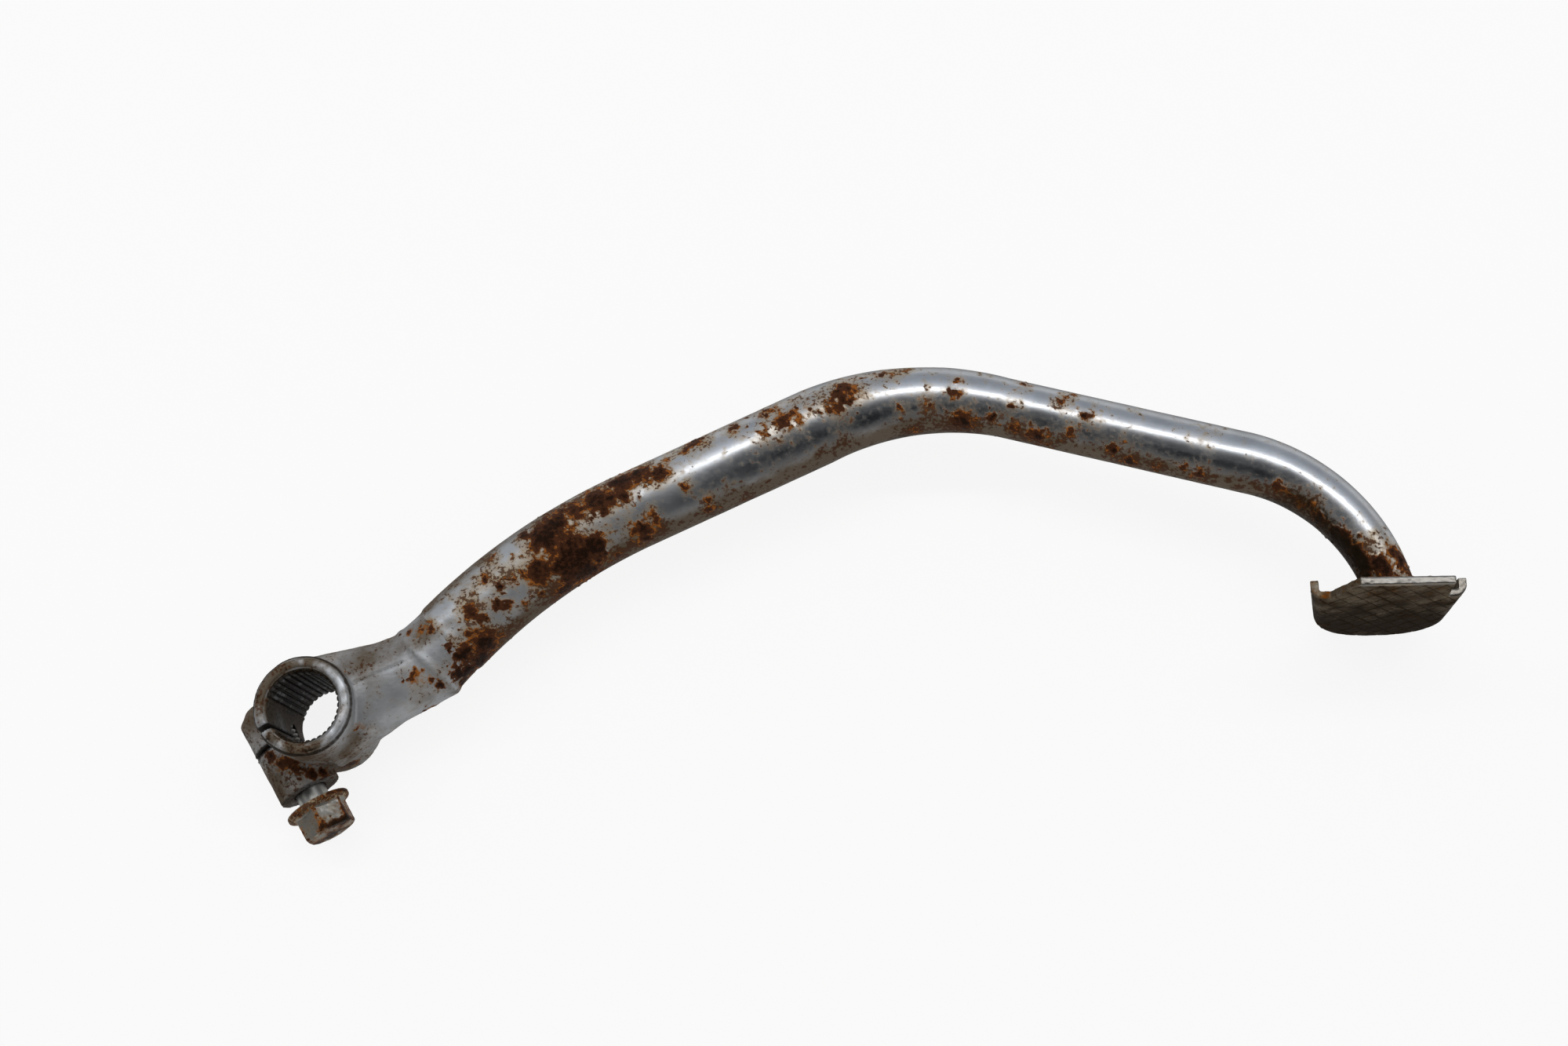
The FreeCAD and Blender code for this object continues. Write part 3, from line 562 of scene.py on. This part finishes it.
ARM_TILT = math.radians(2.4)
ARM_RUNS = (9.3 * MM, 50.3 * MM, 60.2 * MM, 5.8 * MM)
ARM_TURNS = (ARM_TURN, math.radians(23.5), math.radians(-15.8), math.radians(-72.5))
ARM_BENDS = (143 * MM, 69.5 * MM, 45.4 * MM)
ARM_THICK = (20.8 * MM, 19.9 * MM, 15.0 * MM, 12.1 * MM)
ARM_STEP = 0.42 * MM
ARM_SIDES = 128
BEND_STEPS = 32
ARM_RUST = (
    (65, 36, 10, 6.9), (60, 45, 12, 4.6), (58, 41, 12, 4.2), (56, 33, 11, 3.4), (70, 39, 11, 3.4),
    (67, 34, 7, 5.3), (62, 30, 5, 2.3), (65, 48, 12, 3.0), (70, 51, 12, 3.8), (76, 55, 12, 3.8),
    (81, 57, 11, 3.0), (86, 57, 13, 2.3), (74, 51, 13, 1.9), (73, 48, 13, 1.5), (78, 51, 13, 1.5),
    (95, 65, 10, 2.3), (88, 60, 11, 1.0), (93, 63, 11, 1.1), (97, 65, 11, 1.1), (105, 68, 11, 1.9),
    (107, 70, 9, 1.5), (112, 66, 13, 1.7), (113, 71, 11, 2.1), (117, 69, 13, 2.7), (120, 70, 12, 3.0),
    (123, 71, 13, 1.9), (116, 67, 13, 1.1), (128, 72, 13, 1.9), (131, 74, 13, 3.4), (133, 76, 13, 3.0),
    (129, 75, 12, 1.9), (141, 80, 12, 1.7), (144, 80, 12, 1.5), (140, 79, 12, 1.1), (132, 66, 10, 1.1),
    (124, 63, 10, 0.8), (146, 72, 13, 1.0), (149, 68, 8, 1.1), (84, 47, 11, 1.1), (82, 43, 10, 2.7),
    (82, 42, 7, 1.9), (80, 43, 10, 1.1), (85, 45, 10, 1.1), (98, 51, 10, 1.0), (98, 49, 8, 1.3),
    (93, 53, 13, 0.6), (103, 54, 10, 0.6), (107, 53, 5, 0.8), (75, 38, 6, 1.1), (73, 37, 5, 1.0),
    (43, 31, 12, 1.1), (53, 26, 8, 0.6), (57, 28, 8, 0.8), (45, 37, 10, 0.8), (50, 37, 12, 0.6),
    (52, 42, 10, 1.1), (46, 25, 11, 1.3), (48, 25, 10, 1.3), (50, 31, 12, 1.5), (47, 29, 12, 1.0),
    (27, 19, 10, 1.1), (24, 19, 9, 1.0), (30, 19, 11, 1.0), (159, 75, 14, 1.5), (153, 73, 13, 1.5),
    (161, 69, 11, 2.7), (168, 69, 13, 1.3), (173, 66, 12, 1.1), (173, 71, 15, 0.6), (179, 64, 11, 2.7),
    (181, 64, 11, 1.1), (187, 64, 14, 1.0), (191, 68, 15, 1.3), (185, 72, 14, 1.3), (176, 77, 12, 1.1),
    (188, 74, 12, 0.6), (160, 78, 14, 0.8), (147, 81, 11, 1.0), (197, 60, 13, 1.3), (201, 58, 11, 1.7),
    (207, 57, 11, 1.3), (214, 56, 13, 1.3), (217, 54, 12, 1.5), (226, 52, 11, 0.8), (231, 51, 13, 0.8),
    (236, 49, 15, 1.7), (241, 45, 14, 1.7), (243, 44, 14, 1.5), (245, 41, 14, 1.7), (248, 38, 14, 2.1),
    (250, 35, 14, 2.3), (253, 32, 15, 2.9), (254, 29, 15, 3.2), (257, 29, 17, 2.7), (261, 32, 16, 1.7),
    (263, 30, 16, 2.3), (265, 28, 14, 1.3), (259, 28, 17, 2.3))
ARM_RUST_BEHIND = (
    (60, 38, -7, 5), (68, 44, -7, 4), (52, 30, -6, 3), (78, 52, -6, 3), (100, 62, -5, 2.5), (90, 55, -5, 1.5),
    (118, 66, -4, 3), (135, 70, -3, 2), (150, 72, -2, 2.5), (170, 68, 0, 2), (190, 64, 1, 1.5),
    (210, 58, 2, 1.8), (232, 50, 3, 2), (248, 38, 5, 2.5), (256, 30, 5, 3), (40, 18, -8, 4), (84, 60, 2, 3))


def arm_path():
    """The tube's middle line as points with a thickness at each: runs joined by arcs, in the arm's plane."""
    here = JOINT.xy
    line = [(here.copy(), ARM_THICK[0])]
    for step, run in enumerate(ARM_RUNS):
        turn = ARM_TURNS[step]
        here = here + run * Vector((math.cos(turn), math.sin(turn)))
        line.append((here.copy(), ARM_THICK[step]))
        if step == len(ARM_BENDS):
            break
        swing = ARM_TURNS[step + 1] - turn
        middle = here + ARM_BENDS[step] * Vector((math.sin(turn), -math.cos(turn)))
        spoke = here - middle
        for part in range(1, BEND_STEPS + 1):
            share = part / BEND_STEPS
            thick = ARM_THICK[step] + share * (ARM_THICK[step + 1] - ARM_THICK[step])
            line.append((middle + Matrix.Rotation(swing * share, 2) @ spoke, thick))
        here = line[-1][0].copy()
    return [(Vector((p.x * math.cos(ARM_TILT), p.y, p.x * math.sin(ARM_TILT))), t) for p, t in line]


def arm_line():
    """The tube's middle line as a curve, with the tube's radius at each point."""
    curve = bpy.data.curves.new("arm_line", "CURVE")
    curve.dimensions = "3D"
    route = arm_path()
    spline = curve.splines.new("POLY")
    spline.points.add(len(route) - 1)
    for point, (spot, thick) in zip(spline.points, route):
        point.co = (*spot, 1)
        point.radius = thick / 2
    return put("arm_line", curve)


def swaged_tube():
    """Sweeps a circle along a curve of varying radius, in even steps, and closes the ends."""
    tree, (line, step, sides, finish) = recipe(
        "swaged_tube", Line="Geometry", Step="Float", Sides="Int", Finish="Material")
    even = line.node("GeometryNodeResampleCurve", {"Curve": line, "Length": step}, mode="LENGTH")
    ring = sides.node("GeometryNodeCurvePrimitiveCircle", {"Resolution": sides, "Radius": 1.0})
    thick = even.node("GeometryNodeInputRadius")
    swept = even.node("GeometryNodeCurveToMesh",
                      {"Curve": even, "Profile Curve": ring, "Scale": thick, "Fill Caps": True})
    coat_and_give(swept, finish)
    return tree


arm = grown(arm_line(), "plated_arm", swaged_tube(), Step=ARM_STEP, Sides=ARM_SIDES, Finish=plating)

# Its skin: scabs of rust stand on it, and its end goes under the hub's.
spots = places(arm)
along = past_joint(spots)
tucked = 1 - ease_between(along, 4 * MM, 8.5 * MM)
rust = rusted(spots, JOINT_RUST + ARM_RUST + ARM_RUST_BEHIND, RUST_SEED)
scab = ease_between(rust, -0.05, 0.30)
crust = 0.16 + 0.16 * lumps(spots, 1.6 * MM, 4.4) + 0.12 * lumps(spots, 0.8 * MM, 6.6)
drawn = 0.03 * lumps(spots, 7 * MM, 9.2) - 0.15 - 0.5 * dented(spots)
raise_skin(arm, MM * (drawn + scab * crust - 1.3 * tucked))

# Its wear and painted shade: yellow stain round the rust; brown film along the underside, partly dirt and
# partly painted reflection and shade, and near the hub on top, partly painted shade; and grime with painted
# shade where the last bend faces the tread.
# Along the underside the film and grime are partly dirt and partly painted reflection and shade.
dirty_shaded = dirty_shaded_side(arm)
# Where the last bend faces the tread it is darkened: painted shade, with some grime.
inside_bend_grime_shade = ease_between(facing(arm) @ np.array((-0.8, -0.6, 0)), 0.1, 0.7)
inside_bend_grime_shade = inside_bend_grime_shade * ease_between(spots[:, 0], 222 * MM, 250 * MM)
# Near the hub the top side gets film that is partly dirt and partly painted shade.
topside_film_shade = ease_between(facing(arm) @ np.array((-0.4, 0.8, -0.3)), 0.0, 0.65)
topside_film_shade = topside_film_shade * (1 - ease_between(spots[:, 0], 45 * MM, 80 * MM))
near_hub = 1 - ease_between(spots[:, 0], 40 * MM, 120 * MM)
first_stretch = 1 - ease_between(along, 8 * MM, 30 * MM)
# The first stretch takes the hub's film, darker on faces towards the table, partly as painted shade.
hub_film_and_shade = cloudy_film(spots) + 0.45 * ease_between(-facing(arm)[:, 2], 0.2, 0.8)
patchy = lumps(spots, 7 * MM, 3.7)
stain = 0.10 + 0.60 * ease_between(rust, -2.8, 0.1) + (0.28 + 0.15 * near_hub) * patchy + 0.13 * near_hub
film = 1.15 * ease_between(dirty_shaded, -0.05, 0.75) + 0.20 * patchy + 0.8 * inside_bend_grime_shade
film = film + 0.85 * topside_film_shade + first_stretch * hub_film_and_shade
note(arm, rust=0.5 + 0.5 * rust, stain=stain, film=film,
     grime=0.50 * ease_between(dirty_shaded, 0.5, 1.0) + 0.15 * patchy + 0.75 * inside_bend_grime_shade,
     dull=near_hub * (1 - 0.2 * ease_between(along, -6 * MM, 14 * MM)))
finish_piece(arm, plating, "pedal", "plated_tube", "arm_tube")


# Weld bead: a fillet of weld joins the tube's far end to the tread. It is laid by hand in overlapping
# ripples, plated over, and rusted all round where slag was left. The hub's own bead is in its skin.

BEAD_GRAIN = 0.22 * MM
BEAD_EASING = 4
BEAD_FROM = 200 * MM
bead = fine_copy("weld_bead", BEAD_GRAIN, BEAD_EASING, "weld_beads")
keep_only(bead, places(bead)[:, 0] > BEAD_FROM)
spots = places(bead)
ripple = lumps(spots, 1.8 * MM, 5.0)
raise_skin(bead, MM * (0.20 * ripple + 0.12 * lumps(spots, 0.8 * MM, 2.0) - 0.08))
note(bead, rust=0.55 + 0.35 * lumps(spots, 2.4 * MM, 6.4), stain=0.6 + 0.3 * ripple,
     film=0.6 + 0.3 * ripple, grime=0.30 - 0.5 * ripple, dull=np.ones(len(spots)))
slag = worn_metal("weld_plating", (0.45, 0.45, 0.45), (0.22, 0.22, 0.22), 0.38, 0.72)
finish_piece(bead, slag, "pedal", "weld", "weld_beads")


# Tread: a plate pressed into a shallow tray, with its rim turned up round three sides and its free
# edge left flat. The sole is scored crosswise for grip, the cut edge is ground bright, and road dirt
# and rust have settled on it.

TREAD_GRAIN = 0.26 * MM
TREAD_EASING = 3
TREAD_LANDING = Vector((261.7, 21.2, 11.0)) * MM
TREAD_TILT = math.radians(92.8)
FREE_EDGE = 22.6 * MM
HATCH_PITCH = 4.0 * MM
HATCH_DEPTH = 0.16 * MM
HATCH_WIDTH = 0.55 * MM
HATCH_SLANT = (0.82, 0.57)


def groove(distance):
    """How deep a spot lies in one of the parallel cuts at the hatch's pitch."""
    off = np.abs((distance / HATCH_PITCH) % 1.0 - 0.5) * HATCH_PITCH
    return 1 - ease_between(off, 0.1 * HATCH_WIDTH, 0.5 * HATCH_WIDTH)


# The tread laid flat: its width along X, its length along Y and its sole below.
tread = fine_copy("tread", TREAD_GRAIN, TREAD_EASING, "tread_pad")
spots = places(tread)
laid_flat = np.array(Matrix.Rotation(TREAD_TILT, 3, "X")).T
flat = (spots - np.array(TREAD_LANDING)) @ laid_flat
aim = facing(tread) @ laid_flat
to_edge = -flat[:, 1]
sole = ease_between(-aim[:, 2], 0.85, 0.97)
hollow = ease_between(aim[:, 2], 0.3, 0.9)
cut = ease_between(-aim[:, 1], 0.45, 0.8)
cut_bright = np.maximum(ease_between(to_edge, 17 * MM, 20 * MM), ease_between(flat[:, 0], 8 * MM, 10 * MM))
ground = cut * (0.15 + 0.85 * cut_bright)
worn_lip = ease_between(to_edge, FREE_EDGE - 1.6 * MM, FREE_EDGE - 0.4 * MM) * sole
low = ease_between(flat[:, 1], -20 * MM, 16 * MM)

# Its skin: scored on the sole, a little rusted, and rough where it was ground.
across, lengthwise = HATCH_SLANT[0] * flat[:, 0], HATCH_SLANT[1] * flat[:, 1]
hatch = np.maximum(groove(across + lengthwise), groove(across - lengthwise))
hatch = hatch * sole * (0.65 + 0.5 * lumps(spots, 7 * MM, 6.0))
grain = lumps(spots, 2.0 * MM, 3.3)
patchy = lumps(spots, 7.0 * MM, 1.2)
rust = -0.55 + 0.65 * patchy + 0.45 * lumps(spots, 1.3 * MM, 5.9) + 0.5 * hollow - 2 * ground - worn_lip
rust = rust + 0.9 * cut * (1 - cut_bright)
pressed_skin = 0.04 * grain - 0.06 + 0.12 * ease_between(rust, 0, 0.3)
filed = 0.05 * ground * lumps(spots, 1.0 * MM, 7.1)
raise_skin(tread, MM * (pressed_skin + filed) - hatch * HATCH_DEPTH)

# Brown film and grime, deepest in the scores and darker further from the free edge.
film = 0.65 + 0.35 * patchy + 0.35 * hatch + 0.3 * low - 0.9 * worn_lip
grime = 0.46 + 0.42 * low + 0.30 * patchy + 0.35 * hatch - 0.80 * worn_lip
note(tread, rust=0.5 + 0.5 * rust, stain=(0.30 + 0.3 * grain) * (1 - ground), film=film * (1 - ground),
     grime=grime * (1 - ground), dull=(1 - ground) * 0.15, bare=0.25 * ground + 0.5 * worn_lip)
pressed = worn_metal("tread_plating", (0.27, 0.26, 0.245), (0.11, 0.085, 0.050), 0.30, 0.80, 0.01, 0.25)
finish_piece(tread, pressed, "pedal", "tread", "tread_pad")


# Pinch bolt: a zinc-plated flange bolt that draws the slot together and clamps the collar on its shaft.
# Its head and flange have rusted at the edges, and its shank is bright where the lug kept it dry.

BOLT_GRAIN = 0.18 * MM
BOLT_EASING = 3
BOLT_SEAT = Vector((-1.573, -21.36, -7.0)) * MM
BOLT_AXIS = Vector((0.515038, -0.857167, 0))
HEX_FROM = 2.4 * MM
HEX_EASING = 30
HEX_CORNER = 6.2 * MM
FLANGE_FROM = 6.6 * MM
SHANK_CORE = 3.2 * MM
THREAD_PITCH = 1.25 * MM
THREAD_DEPTH = 0.55 * MM
THREAD_FROM = 9 * MM


def up_bolt(spots):
    """How far each spot lies above the seat of the bolt's flange, towards its head."""
    return (spots - np.array(BOLT_SEAT)) @ np.array(BOLT_AXIS)


bolt = fine_copy("flange_bolt", BOLT_GRAIN, BOLT_EASING, "pinch_bolt")
on_hex = ease_between(up_bolt(places(bolt)), HEX_FROM, HEX_FROM + 0.6 * MM)
bolt = soften(bolt, "flange_bolt", on_hex, HEX_EASING)

# Where each spot lies on the bolt.
spots = places(bolt)
height = up_bolt(spots)
side = np.cross(np.array(BOLT_AXIS), (0, 0, 1.0))
out_x = (spots - np.array(BOLT_SEAT)) @ side
out_z = spots[:, 2] - BOLT_SEAT.z
outward = np.hypot(out_x, out_z)
turn = np.arctan2(out_z, out_x) / math.tau
wave = np.abs((height / THREAD_PITCH + turn) % 1.0 - 0.5) * 2
on_thread = (outward > SHANK_CORE) * (height < 0) * ease_between(-height, THREAD_FROM, THREAD_FROM + MM)
on_head = ease_between(height, -0.2 * MM, 0.4 * MM)
on_flange = on_head * ease_between(outward, FLANGE_FROM, FLANGE_FROM + 0.8 * MM)
on_corner = on_head * ease_between(outward, HEX_CORNER, HEX_CORNER + 0.6 * MM) * (1 - on_flange)
on_end = on_head * ease_between(height, 6.0 * MM, 7.6 * MM)
far_side = on_head * ease_between(-facing(bolt) @ side, 0.35, 0.9)

# Its thread and its wear.
grain = lumps(spots, 1.5 * MM, 2.2)
patchy = lumps(spots, 4.0 * MM, 4.1)
rust = -0.75 + 0.6 * patchy + 0.4 * lumps(spots, 0.9 * MM, 7.4) + 0.7 * on_corner + 0.55 * on_flange
rust = rust + 0.75 * on_end + 0.75 * far_side
raise_skin(bolt, -on_thread * THREAD_DEPTH * wave + MM * on_head * (0.05 * grain - 0.05))
grime = 0.35 * on_head * (0.3 + patchy) + 0.40 * on_end + on_thread * (0.35 + 0.35 * wave)
note(bolt, rust=(0.5 + 0.5 * rust) * (0.3 + 0.7 * on_head) + 0.25 * on_thread * (1 - wave),
     stain=0.75 * on_flange + 0.3 * on_head + 0.3 * grain, film=on_head * (0.35 + 0.4 * patchy),
     grime=grime, dull=0.3 * on_head, bare=(1 - on_head) * (1 - 0.9 * on_thread))
zinc = worn_metal("zinc_plating", (0.42, 0.42, 0.40), (0.18, 0.17, 0.15), 0.26, 0.80)
finish_piece(bolt, zinc, "bolt", "bolt", "pinch_bolt")


# Setting: the pedal lies on a white table under one long soft lamp and a weak one from the left. Dark and
# grey cards stand along it and at its ends, which the plating shows as the bands along the tube.

FLOOR_LEVEL = cad_box[0][2] - 0.1 * MM
TABLE_HALF = 3.0
LAMP_AIM = Vector((0.12, 0.03, 0.0))
CARD_DISTANCE = 1.3
CARD_HALF_LENGTH = 1.7
END_CARD_LEVEL = 0.5
END_CARD_HALF_WIDTH = 1.4
END_CARD_HALF_HEIGHT = 0.6
COOL_GREY = (0.90, 0.96, 1.06)


def flat_sheet(name, middle, across, up):
    """A rectangle with its middle and its two half-sides given."""
    mesh = bpy.data.meshes.new(name)
    corners = [middle - across - up, middle + across - up, middle + across + up, middle - across + up]
    mesh.from_pydata(corners, [], [(0, 1, 2, 3)])
    sheet = put(name, mesh)
    return sheet


def seen_directly(start):
    """1 for what the camera, a reflection or a refraction shows, and 0 for light on the object."""
    rays = start.node("ShaderNodeLightPath").socket.node.outputs
    camera, glossy, through = (Wire(start.tree, rays[kind]) for kind in
                               ("Is Camera Ray", "Is Glossy Ray", "Is Transmission Ray"))
    return camera.sum("MINIMUM", camera + glossy + through, 1.0)


table = flat_sheet("table", Vector((LAMP_AIM.x, 0, FLOOR_LEVEL)), Vector((TABLE_HALF, 0, 0)),
                   Vector((0, TABLE_HALF, 0)))
paper = bpy.data.materials.new("white_paper")
start = fresh(paper)
matte = start.node("ShaderNodeBsdfDiffuse", {"Color": (0.85, 0.85, 0.85, 1)})
white = start.node("ShaderNodeEmission", {"Color": (1, 1, 1, 1), "Strength": 1.0})
mixed = start.node("ShaderNodeMixShader", {0: 0.87 * seen_directly(start), 1: matte, 2: white})
start.node("ShaderNodeOutputMaterial", {"Surface": mixed})
table.data.materials.append(paper)

world = bpy.data.worlds.new("studio")
start = fresh(world)
level = 0.50 + 0.50 * seen_directly(start)
sky = start.node("ShaderNodeBackground", {"Color": (1, 1, 1, 1), "Strength": level})
start.node("ShaderNodeOutputWorld", {"Surface": sky})
bpy.context.scene.world = world


def card(name, middle, across, up, colour, strength):
    """A card of one even brightness that only reflections show."""
    sheet = flat_sheet(name, middle, across, up)
    sheet.visible_camera = False
    sheet.visible_diffuse = False
    sheet.visible_shadow = False
    glow = bpy.data.materials.new(name)
    start = fresh(glow)
    light = start.node("ShaderNodeEmission", {"Color": (*colour, 1), "Strength": strength})
    start.node("ShaderNodeOutputMaterial", {"Surface": light})
    sheet.data.materials.append(glow)


def round_the_tube(angle, distance):
    """A place above the pedal, by its angle from upright towards the far side."""
    return LAMP_AIM + distance * Vector((0, math.sin(math.radians(angle)), math.cos(math.radians(angle))))


def long_card(name, angle, spread, colour, strength):
    """A card along the pedal that fills some degrees of what the tube sees."""
    across = CARD_DISTANCE * math.tan(math.radians(spread / 2))
    edge = (round_the_tube(angle + 90, 1.0) - LAMP_AIM) * across
    card(name, round_the_tube(angle, CARD_DISTANCE), Vector((CARD_HALF_LENGTH, 0, 0)), edge, colour, strength)


def end_card(name, away, strength):
    """A card that stands across one end of the pedal."""
    middle = LAMP_AIM + Vector((away, 0, END_CARD_LEVEL))
    card(name, middle, Vector((0, END_CARD_HALF_WIDTH, 0)), Vector((0, 0, END_CARD_HALF_HEIGHT)), (1, 1, 1),
         strength)


long_card("dim_card", -2, 34, (0.95, 0.98, 1.0), 0.05)
long_card("dark_card", -53, 66, (0.9, 0.95, 1.0), 0.02)
long_card("grey_card", 40, 26, COOL_GREY, 0.70)
long_card("high_card", 82, 58, COOL_GREY, 0.48)
end_card("near_end_card", -1.5, 0.14)
end_card("far_end_card", 1.5, 0.40)


def lamp(name, place, width, depth, power):
    """A soft rectangular lamp, turned towards the pedal."""
    light = bpy.data.lights.new(name, "AREA")
    light.shape = "RECTANGLE"
    light.size = width
    light.size_y = depth
    light.energy = power
    holder = put(name, light)
    holder.location = place
    holder.rotation_euler = (LAMP_AIM - place).to_track_quat("-Z", "Y").to_euler()


lamp("long_lamp", round_the_tube(22.5, 1.0), 1.8, 0.080, 4.4)
lamp("left_lamp", LAMP_AIM + 1.2 * Vector((-0.75, -0.15, 0.62)), 0.6, 0.6, 0.4)

FILM_WIDTH = 36
FOCAL_PIXELS = 2700
PHOTO_WIDTH = 1999
CAMERA_PLACE = Vector((161.2, -87.2, 509.5)) * MM
CAMERA_RIGHT = Vector((0.99606, 0, -0.08865))
CAMERA_UP = Vector((0.02247, 0.96735, 0.25245))
CAMERA_BACK = Vector((0.08576, -0.25345, 0.96354))
lens = bpy.data.cameras.new("camera")
lens.sensor_width = FILM_WIDTH
lens.lens = FILM_WIDTH * FOCAL_PIXELS / PHOTO_WIDTH
lens.clip_start = 0.01
camera = put("camera", lens)
turned = Matrix((CAMERA_RIGHT, CAMERA_UP, CAMERA_BACK)).transposed()
camera.matrix_world = Matrix.Translation(CAMERA_PLACE) @ turned.to_4x4()
bpy.context.scene.camera = camera
bpy.context.scene.view_settings.view_transform = "Standard"
